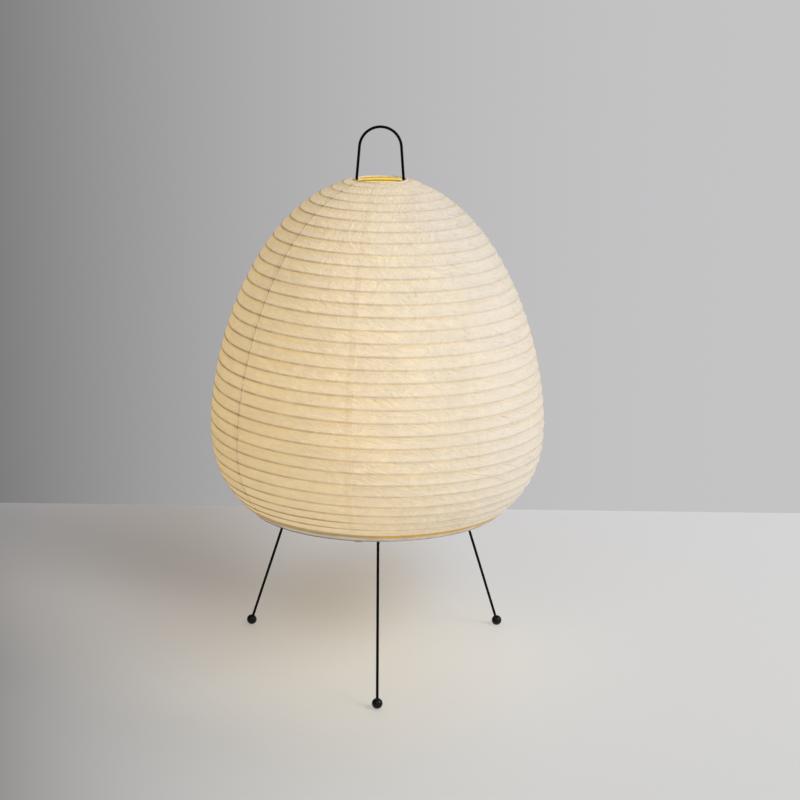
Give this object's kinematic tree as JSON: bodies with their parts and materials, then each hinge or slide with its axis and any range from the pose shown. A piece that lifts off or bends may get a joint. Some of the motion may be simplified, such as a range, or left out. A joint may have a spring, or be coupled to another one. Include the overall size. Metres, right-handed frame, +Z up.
{
  "type": "paper lantern lamp",
  "caption": "Egg-shaped paper lantern lamp on three wire legs with ball feet, its spiral-ribbed shade stretched over a wire stretcher that ends in a carrying handle.",
  "frame": {"origin": "on the floor under the lamp's axis", "axes": "+Z up along the lamp's axis, front leg on -Y, stretcher and handle in the XZ plane"},
  "size_m": [0.3499, 0.3499, 0.5674],
  "materials": {
    "black_wire": "satin",
    "foot_ball": "gloss",
    "hub_black": "satin",
    "plated_steel": "zinc plated",
    "contact_brass": "plain",
    "holder_white": "matte",
    "holder_core": "unglazed",
    "bulb_cap": "plain",
    "bulb_insulator": "gloss",
    "bulb_body": "satin",
    "led_board": "lacquered",
    "bulb_diffuser": "frosted",
    "rib_bamboo": "split bamboo",
    "shade_paper": "translucent fibre paper",
    "hem_paper": "doubled fibre paper",
    "ring_wire": "plain"
  },
  "bodies": {
    "frame": {"hub": "hub_black", "grub_screws": "plated_steel", "nipple": "plated_steel", "lock_nut": "plated_steel", "washer": "plated_steel", "leg_front": "black_wire", "leg_right": "black_wire", "leg_left": "black_wire", "foot_front": "foot_ball", "foot_right": "foot_ball", "foot_left": "foot_ball", "stretcher": "black_wire", "holder_cap": "holder_white", "holder_body": "holder_white", "holder_core": "holder_core", "screw_shell": "contact_brass", "centre_contact": "contact_brass", "terminal_screws": "plated_steel"},
    "bulb": {"bulb_tip": "bulb_cap", "bulb_insulator": "bulb_insulator", "bulb_cap": "bulb_cap", "bulb_body": "bulb_body", "led_board": "led_board", "bulb_diffuser": "bulb_diffuser"},
    "shade": {"top_ring": "ring_wire", "top_hem": "hem_paper", "spiral_rib": "rib_bamboo", "paper_gore_1": "shade_paper", "paper_gore_2": "shade_paper", "paper_gore_3": "shade_paper", "paper_gore_4": "shade_paper", "paper_gore_5": "shade_paper", "paper_gore_6": "shade_paper", "paper_gore_7": "shade_paper", "paper_gore_8": "shade_paper"},
    "shade_foot": {"bottom_ring": "ring_wire", "bottom_hem": "hem_paper"}
  },
  "joints": [
    {"name": "bulb_out", "type": "slide", "parent": "frame", "child": "bulb", "axis": [0, 0, 1], "range_m": [0, 0.03]},
    {"name": "shade_lift", "type": "slide", "parent": "frame", "child": "shade", "axis": [0, 0, 1], "range_m": [0, 0.42]},
    {"name": "shade_fold", "type": "slide", "parent": "shade", "child": "shade_foot", "axis": [0, 0, 1], "range_m": [0, 0.3], "deforming": ["spiral_rib", "paper_gore_1", "paper_gore_2", "paper_gore_3", "paper_gore_4", "paper_gore_5", "paper_gore_6", "paper_gore_7", "paper_gore_8"]}
  ]
}
